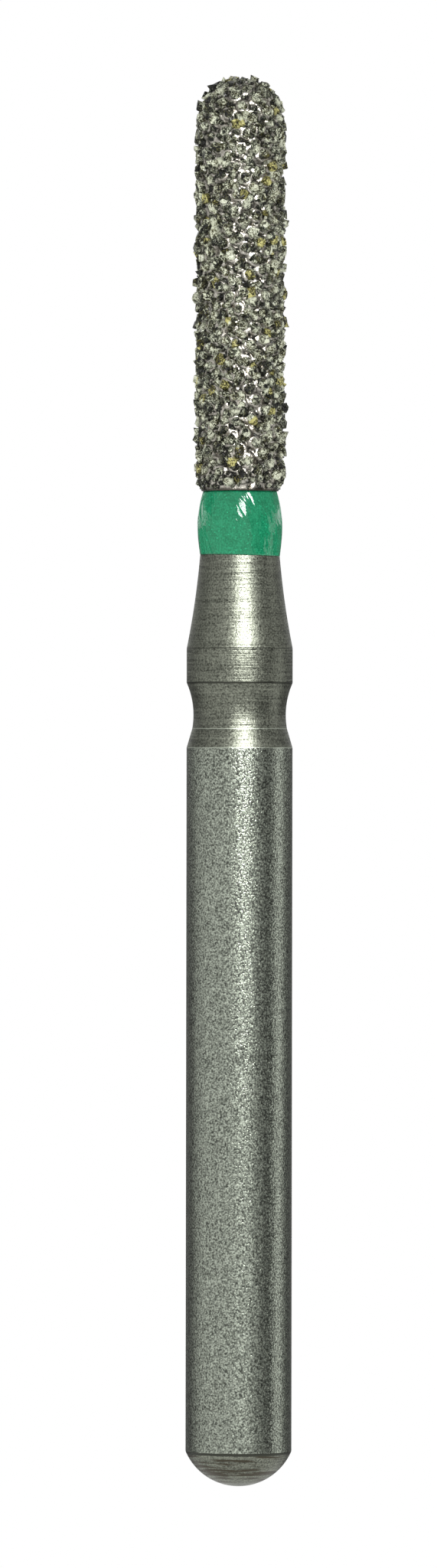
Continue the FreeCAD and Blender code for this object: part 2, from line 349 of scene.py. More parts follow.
def build_scratches(name):
    """Sparse straight hairline scratches on the turned surface, all at one slant to its length."""
    board, given, result = shader_group(
        name,
        {
            "Vector": ("Vector", None),
            "Slant": ("Float", 0.8),
            "Scale": ("Float", 3400.0),
            "Width": ("Float", 0.014),
            "Stretch": ("Vector", (1.0, 0.035, 1.0)),
        },
        {"Mask": "Float"},
    )
    x, y, z = board.parts(given["Vector"])
    angle = board.math("ARCTAN2", x, board.math("MULTIPLY", y, -1.0))
    unrolled = board.joined(board.math("MULTIPLY", angle, SHANK_RADIUS), z)
    turn = {"Vector": unrolled, "Angle": given["Slant"]}
    slanted = board.add("ShaderNodeVectorRotate", turn, rotation_type="Z_AXIS").outputs[0]
    long_way = {"Vector": board.vector("MULTIPLY", slanted, given["Stretch"]), "Scale": given["Scale"]}
    cells = board.add("ShaderNodeTexVoronoi", long_way, voronoi_dimensions="2D")
    board.fill(result["Mask"], board.math("LESS_THAN", cells.outputs["Distance"], given["Width"]))
    return board.tree


def build_turning_rings(name):
    """Fine rings left by turning and grinding: lines that run round the axis, uneven in depth."""
    board, given, result = shader_group(
        name,
        {"Vector": ("Vector", None), "Pitch": ("Float", 0.00003), "Round": ("Float", 400.0)},
        {"Height": "Float"},
    )
    x, y, z = board.parts(given["Vector"])
    across, deep = (board.math("MULTIPLY", side, given["Round"]) for side in (x, y))
    lines = board.joined(across, deep, board.math("DIVIDE", z, given["Pitch"]))
    board.fill(result["Height"], board.noise(lines, 1.0))
    return board.tree


def build_crystal_flaws(name):
    """The look inside a grain: facets and flaws of mixed brightness, and a height for their edges."""
    board, given, result = shader_group(
        name,
        {
            "Vector": ("Vector", None),
            "Shade": ("Float", 0.5),
            "Flaw": ("Float", 12500.0),
            "Dark": ("Color", (0.02, 0.022, 0.018, 1)),
            "Body": ("Color", (0.2, 0.21, 0.18, 1)),
            "Light": ("Color", (0.62, 0.64, 0.6, 1)),
        },
        {"Color": "Color", "Height": "Float", "Cloud": "Float"},
    )
    finer = board.math("MULTIPLY", given["Flaw"], 2.2)
    veins = board.noise(given["Vector"], finer, detail=3.0, distortion=1.5)
    cells = board.add("ShaderNodeTexVoronoi", {"Vector": given["Vector"], "Scale": given["Flaw"]})
    chips = board.add("ShaderNodeSeparateColor", {0: cells.outputs["Color"]}).outputs[0]
    mixed = board.mix(0.5, chips, board.ranged(veins, 0.0, 1.0, 0.4, 0.6))
    own = board.math("MULTIPLY_ADD", given["Shade"], 0.5, mixed)
    clearness = board.ranged(own, 0.0, 1.0, 0.58, 0.74)
    cloud = board.ranged(own, 0.0, 1.0, 0.82, 1.0)
    darker = board.tint(clearness, given["Dark"], given["Body"])
    board.fill(result["Color"], board.tint(cloud, darker, given["Light"]))
    board.fill(result["Height"], mixed)
    board.fill(result["Cloud"], cloud)
    return board.tree


def build_standing_out(name):
    """How far a point of the head stands out of the nickel, in metres, over the cylinder and the dome."""
    board, given, result = shader_group(
        name,
        {"Vector": ("Vector", None), "Dome Centre": ("Float", 0.02), "Radius": ("Float", 0.0006)},
        {"Height": "Float"},
    )
    x, y, z = board.parts(given["Vector"])
    above = board.math("MAXIMUM", board.math("SUBTRACT", z, given["Dome Centre"]), 0.0)
    reach = board.add("ShaderNodeVectorMath", {0: board.joined(x, y, above)}, operation="LENGTH")
    board.fill(result["Height"], board.math("SUBTRACT", reach.outputs["Value"], given["Radius"]))
    return board.tree


def effect(board, build, **inputs):
    """Places an effect's shared node group, built the first time that a material asks for it."""
    name = build.__name__.removeprefix("build_").replace("_", " ")
    tree = bpy.data.node_groups.get(name) or build(name)
    inputs = {label.replace("_", " "): value for label, value in inputs.items()}
    return board.add("ShaderNodeGroup", inputs, node_tree=tree).outputs


def cleared(owner):
    """Turns on the nodes of a material or a world, and empties its tree."""
    owner.use_nodes = True
    owner.node_tree.nodes.clear()
    return NodeBoard(owner.node_tree)


def new_material(name):
    """A material with its board, the place on the object and the inputs of its shader."""
    material = bpy.data.materials.new(name)
    board = cleared(material)
    where = board.add("ShaderNodeTexCoord").outputs["Object"]
    surface = board.add("ShaderNodeBsdfPrincipled")
    board.add("ShaderNodeOutputMaterial", {"Surface": surface.outputs[0]})
    return material, board, where, surface.inputs


def turned_zone(board, where, sizes):
    """1 on the dome and from the groove up, which are turned, and 0 on the ground shank."""
    height = board.parts(where)[2]
    above = board.math("GREATER_THAN", height, sizes.end_dome_height + sizes.grip_length)
    return board.math("ADD", above, board.math("LESS_THAN", height, sizes.end_dome_height))


def painted_edge_lines(board, where, colour, sizes, highlight_tone, dark):
    """Thin wavering lines round the blank: painted highlights along the two edges of the groove, and painted
    shade in the corners at the collar's foot and top, just below the rim of the end dome and at the foot of
    the ring.
    """
    waver = 0.016 * MM
    level = board.math("MULTIPLY_ADD", board.noise(where, 4000.0), waver, board.parts(where)[2])
    groove_foot = sizes.end_dome_height + sizes.grip_length
    groove_line = groove_foot + sizes.groove_flank
    collar_foot = groove_line + sizes.groove_hollow
    # Each line has a height, a half width and a tone. The paler tone is a painted highlight and the darker
    # tone is painted shade.
    for height, half_width, tone in (
        (groove_foot, 0.008 * MM, highlight_tone),
        (groove_line, 0.005 * MM, highlight_tone),
        (collar_foot, 0.014 * MM, dark),
        (collar_foot + sizes.collar_height, 0.006 * MM, dark),
        (sizes.end_dome_height - 0.02 * MM, 0.02 * MM, dark),
        (RING_FOOT, 0.009 * MM, dark),
    ):
        line = board.math("COMPARE", level, height + waver / 2, half_width)
        colour = board.tint(line, colour, tone)
    return colour


def sandy_steel(board, where, mottle, ground):
    """Colour of the ground shank: sandy, under two sets of hairline scratches that cross."""
    sand = board.ranged(mottle["Value"], 0.0, 1.0, 0.36, 0.67)
    colour = board.tint(sand, ground * 0.24, ground * 1.95)
    for slant, scale in ((0.85, 3600.0), (-0.6, 3000.0)):
        scratch = effect(board, build_scratches, Vector=where, Slant=slant, Scale=scale)[0]
        colour = board.tint(scratch, colour, ground * 2.0)
    return colour


def ringed_steel(board, where, mottle, rings, sizes, lathe, stain):
    """Colour of the turned parts: ringed by the lathe, with brownish streaks on the domed end."""
    lines = board.ranged(board.mix(0.72, rings, mottle["Fine"]), 0.0, 1.0, 0.34, 0.66)
    colour = board.tint(lines, lathe * 0.4, lathe * 1.95)
    streaks = effect(board, build_turning_rings, Vector=where, Pitch=0.00004, Round=1500.0)[0]
    streaks = board.ranged(streaks, 0.0, 0.95, 0.48, 0.56)
    rim = sizes.end_dome_height
    on_dome = board.ranged(board.parts(where)[2], 0.0, 1.0, rim, rim * 0.97)
    return board.tint(board.math("MULTIPLY", streaks, on_dome), colour, stain)


def steel_material(finishes, sizes):
    """Sandy ground steel on the shank, and turned steel with fine rings everywhere else."""
    material, board, where, surface = new_material("satin steel")
    ground, lathe = Vector(finishes.steel), Vector(finishes.turned_steel)
    zone = turned_zone(board, where, sizes)
    mottle = effect(board, build_mottle, Vector=where, Patch=9000.0, Grain=38000.0, Share=0.85)
    rings = effect(board, build_turning_rings, Vector=where, Pitch=0.00003, Round=900.0)[0]
    sandy = sandy_steel(board, where, mottle, ground)
    ringed = ringed_steel(board, where, mottle, rings, sizes, lathe, finishes.turned_stain)
    colour = board.tint(zone, sandy, ringed)
    # Painted highlights along the groove's edges in paler ground steel, and painted shade in the corners in
    # darker turned steel.
    board.fill(surface["Base Color"], painted_edge_lines(board, where, colour, sizes, ground * 1.6, lathe * 0.4))
    satin = board.ranged(mottle["Value"], 0.19, 0.25, 0.34, 0.66)
    matt = board.ranged(mottle["Value"], 0.33, 0.42, 0.34, 0.66)
    board.fill(surface["Roughness"], board.mix(zone, satin, matt))
    sand_height = board.ranged(mottle["Fine"], 0.3, 0.7, 0.0, 1.0)
    ring_height = board.ranged(board.mix(0.3, rings, mottle["Fine"]), 0.2, 0.8, 0.0, 1.0)
    height = board.mix(zone, sand_height, ring_height)
    board.fill(surface["Normal"], board.bump(height, 0.016 * MM))
    surface["Metallic"].default_value = 1.0
    return material


def out_of_nickel(board, where, sizes, depths, values):
    """Runs between two values from one depth to another, both measured out of the nickel in metres."""
    radius = sizes.core_radius + sizes.bond_wall
    standing = effect(board, build_standing_out, Vector=where, Dome_Centre=HEAD_TOP - radius, Radius=radius)
    return board.ranged(standing[0], *values, *depths)


def nickel_material(finishes, sizes):
    """Plated nickel: warm, with brownish patches, and painted shade down in the gaps between the grains and
    along the foot by the ring.
    """
    material, board, where, surface = new_material("plated nickel")
    mottle = effect(board, build_mottle, Vector=where, Patch=11000.0, Grain=40000.0, Share=0.3)["Value"]
    stain = Vector(finishes.nickel_stain)
    plated = board.tint(board.ranged(mottle, 0.0, 1.0, 0.36, 0.5), stain, finishes.nickel)
    # Painted shade: nickel that is neither open nor standing out takes a fifth of the stain colour, as if
    # shaded by the grains round it.
    openness = board.add("ShaderNodeAttribute", attribute_name="openness").outputs["Fac"]
    proud = out_of_nickel(board, where, sizes, (0.008 * MM, 0.034 * MM), (0.12, 0.9))
    seen = board.math("MAXIMUM", proud, board.ranged(openness, 0.0, 1.0, 0.3, 0.9))
    board.fill(surface["Base Color"], board.tint(seen, stain * 0.2, plated))
    board.fill(surface["Roughness"], board.ranged(mottle, 0.15, 0.32))
    board.fill(surface["Normal"], board.bump(mottle, 0.015 * MM))
    surface["Metallic"].default_value = 1.0
    return material


def lacquer_material(finishes):
    """Green lacquer: glossy, with pale patches, tiny specks and slanting runs that break its highlight."""
    material, board, where, surface = new_material("green lacquer")
    green, pale = Vector(finishes.lacquer), Vector(finishes.lacquer_light)
    mottle = effect(board, build_mottle, Vector=where, Patch=6500.0, Grain=38000.0, Share=0.7)["Value"]
    body = board.tint(board.ranged(mottle, 0.0, 1.0, 0.4, 0.62), green * 0.85, pale)
    specks = board.add("ShaderNodeTexVoronoi", {"Vector": where, "Scale": 16000.0})
    near = board.math("LESS_THAN", specks.outputs["Distance"], 0.16)
    board.fill(surface["Base Color"], board.tint(near, body, pale * 1.5))
    board.fill(surface["Roughness"], board.ranged(mottle, 0.04, 0.1))
    turn = {"Vector": where, "Angle": 0.5}
    slanted = board.add("ShaderNodeVectorRotate", turn, rotation_type="Y_AXIS").outputs[0]
    drawn_out = board.vector("MULTIPLY", slanted, (1, 1, 0.25))
    runs = effect(board, build_mottle, Vector=drawn_out, Patch=3500.0, Grain=24000.0, Share=0.04)
    board.fill(surface["Normal"], board.bump(runs["Value"], 0.06 * MM))
    surface["IOR"].default_value = 1.5
    return material


def diamond_material(name, sizes, body, olive, light):
    """Diamond grit: flawed crystals, part clear and part cloudy, glossy, and with painted shade low down
    where they sink into the nickel.
    """
    material, board, where, surface = new_material(name)
    shade = board.add("ShaderNodeAttribute", attribute_name="shade").outputs["Fac"]
    tinge = effect(board, build_mottle, Vector=where, Patch=3500.0, Grain=9000.0, Share=0.4)["Value"]
    tinged = board.tint(board.ranged(tinge, 0.0, 1.0, 0.42, 0.62), body, olive)
    dark = Vector(body) * 0.04
    flaws = effect(
        board, build_crystal_flaws, Vector=where, Shade=shade, Body=tinged, Dark=(*dark, 1), Light=(*light, 1)
    )
    # Painted shade: the grains take the darkest flaw tone where they stand close to the nickel, fading out by
    # 0.075 mm above it.
    seen = out_of_nickel(board, where, sizes, (0.012 * MM, 0.075 * MM), (0.0, 1.0))
    board.fill(surface["Base Color"], board.tint(seen, dark, flaws["Color"]))
    board.fill(surface["Roughness"], board.ranged(flaws["Cloud"], 0.1, 0.28, 0.0, 1.0))
    board.fill(surface["Normal"], board.bump(flaws["Height"], 0.01 * MM))
    surface["IOR"].default_value = 1.38
    return material


def blank_section(sizes):
    """Half section of the blank, from the pole of its end dome to the tip of its core."""
    shank = SHANK_RADIUS
    groove_foot = sizes.end_dome_height + sizes.grip_length
    groove_line = groove_foot + sizes.groove_flank
    collar_foot = groove_line + sizes.groove_hollow
    collar_top = collar_foot + sizes.collar_height
    neck_top = sizes.seat_radius + sizes.ring_foot_wall
    end_dome = list(reversed(dome(shank, sizes.end_dome_height, 0.0, 24, upwards=False)))
    hollow = arc(
        (shank - sizes.groove_depth, groove_line), (shank, collar_foot), sizes.groove_radius, True, 20
    )
    neck = arc((shank, collar_top), (neck_top, RING_FOOT), sizes.neck_radius, True, 24)
    core_dome = HEAD_TOP - sizes.bond_wall - sizes.core_radius
    section = end_dome[:-1]
    section += eased(end_dome[-2], end_dome[-1], (shank, groove_foot), sizes.rim * 0.5)
    section += eased((shank, 0), (shank, groove_foot), hollow[0], sizes.rim * 0.5)
    section += hollow[:-1]
    section += eased(hollow[-2], hollow[-1], (shank, collar_top), sizes.rim * 0.5)
    section += eased((shank, collar_foot), (shank, collar_top), neck[1], sizes.rim)
    section += neck[2:]
    section += [
        Vector((sizes.seat_radius, RING_FOOT)),
        Vector((sizes.seat_radius, RING_TOP)),
        Vector((sizes.core_radius, RING_TOP)),
    ]
    section += dome(sizes.core_radius, sizes.core_radius, core_dome + sizes.core_radius, 12)
    return section


class BUR_OT_steel_blank(bpy.types.Operator):
    """Turn the steel blank from its domed end to the core of the head"""

    bl_idname = "bur.steel_blank"
    bl_label = "Steel blank"

    def execute(self, context):
        sizes, finishes = context.scene.bur_sizes, context.scene.bur_finishes
        mesh = turned("steel_blank_turned", blank_section(sizes), 192)
        tidy_normals(mesh)
        steel = steel_material(finishes, sizes)
        piece("steel_blank_turned", mesh, steel, replaces="steel_blank")
        return {"FINISHED"}


class BUR_OT_colour_ring(bpy.types.Operator):
    """Lay the band of green lacquer on its seat, with edges as uneven as brushed lacquer"""

    bl_idname = "bur.colour_ring"
    bl_label = "Colour ring"

    def execute(self, context):
        sizes, finishes = context.scene.bur_sizes, context.scene.bur_finishes
        foot = Vector((sizes.seat_radius + sizes.ring_foot_wall, RING_FOOT))
        belly = Vector((sizes.seat_radius + sizes.ring_belly_wall, RING_FOOT + sizes.ring_belly_height))
        top = Vector((sizes.seat_radius + sizes.ring_top_wall, RING_TOP))
        outside = arc(foot, belly, upright_radius(belly, foot), False, 16)[:-1]
        outside += arc(belly, top, upright_radius(belly, top), False, 20)
        inside = [Vector((sizes.seat_radius, RING_TOP)), Vector((sizes.seat_radius, RING_FOOT))]
        section = spaced(inside, 0.1 * MM) + outside + [inside[0]]
        mesh = turned("colour_ring_lacquer", section, 160)
        self.unsettle(mesh, sizes)
        tidy_normals(mesh)
        lacquer = lacquer_material(finishes)
        piece("colour_ring_lacquer", mesh, lacquer, replaces="colour_ring")
        return {"FINISHED"}

    def unsettle(self, mesh, sizes):
        """Waves both edges of the band, hangs its foot lower to one side and swells it unevenly."""
        edge_wave, waves, swells = 0.012 * MM, 1.6 / MM, 1.5 / MM
        belly_swell, foot_swell = 0.012, 0.013
        foot_drop, foot_slope = 0.006 * MM, 0.028
        middle = (RING_FOOT + RING_TOP) / 2
        half = (RING_TOP - RING_FOOT) / 2
        foot_radius = sizes.seat_radius + sizes.ring_foot_wall
        for vertex in mesh.vertices:
            share = (vertex.co.z - middle) / half
            flat = Vector((vertex.co.x, vertex.co.y, 0))
            wave = noise.noise(flat * waves + Vector((0, 0, 7 if share > 0 else 0))) * edge_wave
            swell = 1 + belly_swell * noise.noise(vertex.co * swells) * (1 - share**2)
            if share < 0:
                outward = (flat.length - sizes.seat_radius) / sizes.ring_foot_wall
                wave -= (foot_drop + foot_slope * (vertex.co.x + foot_radius)) * min(outward, 1.0)
                swell += foot_swell * share**8
            vertex.co.z += wave * abs(share) ** 3
            vertex.co.x *= swell
            vertex.co.y *= swell


class GrainPlan:
    """Where the large grains stand: the middle and the reach of each."""

    def __init__(self, nodes):
        self.middles, self.reaches = [], []
        for node in nodes:
            shell = merged_copy(frame["nodes"][node].data)
            for island in islands(shell):
                middle = sum((v.co for v in island), Vector()) / len(island)
                self.middles.append(middle)
                self.reaches.append(max((v.co - middle).length for v in island))
            shell.free()
        self.tree = kdtree.KDTree(len(self.middles))
        for i, middle in enumerate(self.middles):
            self.tree.insert(middle, i)
        self.tree.balance()

    def edge_distance(self, point):
        """How far a point is from the edge of the closest grain, negative underneath it."""
        near = self.tree.find_n(point, 3)
        return min(apart - self.reaches[i] for _, i, apart in near)


def merged_copy(mesh):
    """A bmesh of a node's loose triangles with their corners joined."""
    shell = bmesh.new()
    shell.from_mesh(mesh)
    bmesh.ops.remove_doubles(shell, verts=shell.verts, dist=0.0001 * MM)
    return shell


def islands(shell):
    """The separate crystals of a mesh, each as a list of its vertices."""
    left = set(shell.verts)
    found = []
    for start in shell.verts:
        if start not in left:
            continue
        left.discard(start)
        island, edge = [start], [start]
        while edge:
            vertex = edge.pop()
            for link in vertex.link_edges:
                other = link.other_vert(vertex)
                if other in left:
                    left.discard(other)
                    island.append(other)
                    edge.append(other)
        found.append(island)
    return found


class BUR_OT_nickel_bond(bpy.types.Operator):
    """Plate the core with nickel that climbs a little way up every grain"""

    bl_idname = "bur.nickel_bond"
    bl_label = "Nickel bond"

    def execute(self, context):
        sizes, finishes = context.scene.bur_sizes, context.scene.bur_finishes
        radius = sizes.core_radius + sizes.bond_wall
        inner = dome(sizes.core_radius, sizes.core_radius, HEAD_TOP - sizes.bond_wall, 10)
        foot = Vector((sizes.core_radius, RING_TOP))
        outer_foot = Vector((radius, RING_TOP))
        outer = [foot, *eased(foot, outer_foot, (radius, HEAD_TOP), 0.02 * MM)]
        outer += dome(radius, radius, HEAD_TOP, 40)
        section = list(reversed(inner)) + spaced(outer, 0.0145 * MM)
        mesh = turned("nickel_bond_plated", section, 168)
        self.climb(mesh, sizes, GrainPlan(["clear_grains", "yellow_grains"]))
        tidy_normals(mesh)
        nickel = nickel_material(finishes, sizes)
        piece("nickel_bond_plated", mesh, nickel, replaces="nickel_bond")
        return {"FINISHED"}

    def climb(self, mesh, sizes, plan):
        """Raises the nickel round each grain, roughens it, and notes how far each spot is from any grain,
        faded out at the foot; where that is low the nickel takes painted shade.
        """
        open_reach, foot_fade = 0.06 * MM, 0.06 * MM
        climb_height, climb_reach = 0.035 * MM, 0.02 * MM
        bumps = ((0.01 * MM, 11 / MM), (0.003 * MM, 40 / MM))
        openness = mesh.attributes.new("openness", "FLOAT", "POINT")
        dome_centre = HEAD_TOP - sizes.core_radius - sizes.bond_wall
        inner = sizes.core_radius + sizes.bond_wall * 0.5
        for i, vertex in enumerate(mesh.vertices):
            axis_point = Vector((0, 0, min(vertex.co.z, dome_centre)))
            out = vertex.co - axis_point
            if out.length < inner or vertex.co.z < RING_TOP + 0.01 * MM:
                continue
            apart = plan.edge_distance(vertex.co)
            fade = min((vertex.co.z - RING_TOP) / foot_fade, 1.0)
            openness.data[i].value = min(max(apart / open_reach, 0.0), 1.0) * fade
            rise = climb_height * math.exp(-max(apart, 0.0) / climb_reach)
            for height, per_metre in bumps:
                rise += height * noise.noise(vertex.co * per_metre)
            vertex.co += out.normalized() * rise * fade


class BUR_OT_large_grains(bpy.types.Operator):
    """Break the facets of the large grains and give each its own shade"""

    bl_idname = "bur.large_grains"
    bl_label = "Large grains"

    # Blender's vector noise takes its seed from the clock, unless it is given one.
    NOISE_SEED = 5

    def execute(self, context):
        sizes, finishes = context.scene.bur_sizes, context.scene.bur_finishes
        noise.seed_set(self.NOISE_SEED)
        for kind, body, light, shift in (
            ("clear", finishes.clear, finishes.clear_light, 0.0),
            ("yellow", finishes.yellow, finishes.yellow_light, 31.0),
        ):
            material = diamond_material(f"{kind} diamond", sizes, body, finishes.olive, light)
            self.dress(f"{kind}_grains", material, f"{kind}_diamond", shift)
        return {"FINISHED"}

    def dress(self, node, material, slot, shift):
        """Shades and breaks one node's grains; the shift keeps two nodes from sharing their shades."""
        push_mm, waves = 0.02, 9 / MM
        shell = merged_copy(frame["nodes"][node].data)
        shade = shell.verts.layers.float.new("shade")
        for island in islands(shell):
            middle = sum((v.co for v in island), Vector()) / len(island)
            value = 0.5 + 0.85 * noise.noise(middle * waves + Vector((shift, 0, 0)))
            for vertex in island:
                vertex[shade] = value
        bmesh.ops.subdivide_edges(shell, edges=shell.edges, cuts=1, use_grid_fill=True)
        for vertex in shell.verts:
            vertex.co += noise.noise_vector(vertex.co * waves) * push_mm * MM
        bmesh.ops.triangulate(shell, faces=shell.faces)
        bmesh.ops.recalc_face_normals(shell, faces=shell.faces)
        mesh = bpy.data.meshes.new(f"{node}_broken")
        shell.to_mesh(mesh)
        shell.free()
        piece(f"{node}_broken", mesh, material, smooth=False, replaces=node)


def geometry_tree(name, inputs):
    """A Geometry Nodes tree with a geometry in and out and the named inputs."""
    tree = bpy.data.node_groups.new(name, "GeometryNodeTree")
    for direction in ("INPUT", "OUTPUT"):
        tree.interface.new_socket("Geometry", in_out=direction, socket_type="NodeSocketGeometry")
    for label, kind in inputs.items():
        tree.interface.new_socket(label, in_out="INPUT", socket_type=f"NodeSocket{kind}")
    board = NodeBoard(tree)
    return board, board.add("NodeGroupInput").outputs, board.add("NodeGroupOutput").inputs[0]


def rough_crystal(board):
    """A ball of few faces with its corners pushed about, which the sorts of fine grit share."""
    ball = board.add("GeometryNodeMeshIcoSphere", {"Radius": 1.0, "Subdivisions": 1}).outputs[0]
    place = board.add("GeometryNodeInputPosition").outputs[0]
    push = board.add("ShaderNodeTexNoise", {"Vector": place, "Scale": 1.7}).outputs["Color"]
    centred = board.vector("SUBTRACT", push, (0.5, 0.5, 0.5))
    broken = board.add("ShaderNodeVectorMath", {0: centred, "Scale": 1.5}, operation="SCALE").outputs[0]
    return board.add("GeometryNodeSetPosition", {"Geometry": ball, "Offset": broken}).outputs[0]


def fine_grit_tree():
    """Small crystals strewn over a surface: each turned at random, squashed and sunk into it."""
    board, given, result = geometry_tree(
        "fine grit",
        {
            "Spacing": "Float",
            "Density": "Float",
            "Patch": "Float",
            "Smallest": "Float",
            "Largest": "Float",
            "Seed": "Int",
            "Material": "Material",
        },
    )
    seed = given["Seed"]
    patches = board.noise(board.add("GeometryNodeInputPosition").outputs[0], given["Patch"])
    strewn = board.add(
        "GeometryNodeDistributePointsOnFaces",
        {
            "Mesh": given["Geometry"],
            "Distance Min": given["Spacing"],
            "Density Max": given["Density"],
            "Density Factor": board.ranged(patches, 0.0, 1.0, 0.36, 0.46),
            "Seed": seed,
        },
        distribute_method="POISSON",
    )
    turn, squash = (
        board.add("FunctionNodeRandomValue", {0: low, 1: high, "Seed": seed}, data_type="FLOAT_VECTOR")
        for low, high in (((0, 0, 0), (math.tau,) * 3), ((0.7,) * 3, (1.2,) * 3))
    )
    width, lightness = (
        board.add("FunctionNodeRandomValue", {2: low, 3: high, "Seed": seed})
        for low, high in ((given["Smallest"], given["Largest"]), (0.05, 0.95))
    )
    grains = board.add(
        "GeometryNodeInstanceOnPoints",
        {
            "Points": strewn.outputs["Points"],
            "Instance": rough_crystal(board),
            "Rotation": turn.outputs[0],
            "Scale": board.add(
                "ShaderNodeVectorMath", {0: squash.outputs[0], "Scale": width.outputs[1]}, operation="SCALE"
            ).outputs[0],
        },
    )
    shaded = board.add(
        "GeometryNodeStoreNamedAttribute",
        {"Geometry": grains.outputs[0], "Name": "shade", "Value": lightness.outputs[1]},
        domain="INSTANCE",
    )
    real = board.add("GeometryNodeRealizeInstances", {0: shaded.outputs[0]})
    coated = board.add("GeometryNodeSetMaterial", {0: real.outputs[0], "Material": given["Material"]})
    board.fill(result, coated.outputs[0])
    return board.tree


def grown(name, base, tree, values):
    """Runs a Geometry Nodes tree over a base mesh and returns the plain mesh that it makes."""
    carrier = bpy.data.objects.new(name, base)
    bpy.context.scene.collection.objects.link(carrier)
    modifier = carrier.modifiers.new(name, "NODES")
    modifier.node_group = tree
    sockets = {s.name: s.identifier for s in tree.interface.items_tree if s.in_out == "INPUT"}
    for label, value in values.items():
        modifier[sockets[label]] = value
    bpy.context.view_layer.update()
    evaluated = carrier.evaluated_get(bpy.context.evaluated_depsgraph_get())
    mesh = bpy.data.meshes.new_from_object(evaluated)
    bpy.data.objects.remove(carrier)
    return mesh


class BUR_OT_fine_grit(bpy.types.Operator):
    """Strew smaller grains between the large ones, in patches that leave some nickel bare"""

    bl_idname = "bur.fine_grit"
    bl_label = "Fine grit"

    # Each sort has a seed, how far up the head it starts, a spacing, a smallest and a largest radius, all
    # in millimetres, the most grains to a square millimetre, the patches to a millimetre and its diamond.
    SORTS = {
        "middling_grit": (7, 0.1, 0.1, 0.05, 0.09, 150, 3.0, "clear"),
        "small_grit": (11, 0.04, 0.05, 0.022, 0.05, 300, 4.0, "clear"),
        "yellow_grit": (19, 0.12, 0.2, 0.06, 0.1, 5, 2.0, "yellow"),
    }

    def execute(self, context):
        sizes = context.scene.bur_sizes
        proud = 0.008 * MM
        radius = sizes.core_radius + sizes.bond_wall + proud
        cap = dome(radius, radius, HEAD_TOP + proud, 16)
        tree = fine_grit_tree()
        for name, (seed, start, spacing, smallest, largest, density, patches, kind) in self.SORTS.items():
            outline = [Vector((radius, RING_TOP + start * MM)), *cap]
            material = bpy.data.materials[f"{kind} diamond"]
            values = {"Spacing": spacing * MM, "Smallest": smallest * MM, "Largest": largest * MM}
            values |= {"Density": density / MM**2, "Patch": patches / MM, "Seed": seed, "Material": material}
            mesh = grown(name, turned(f"{name}_bed", outline, 96), tree, values)
            mesh.name = name
            piece(name, mesh, material, smooth=False)
        return {"FINISHED"}


def emitting(name, strength):
    """A panel's material: light of its own and nothing reflected."""
    material = bpy.data.materials.new(name)
    board = cleared(material)
    glow = board.add("ShaderNodeEmission", {"Strength": strength})
    board.add("ShaderNodeOutputMaterial", {"Surface": glow.outputs[0]})
    return material


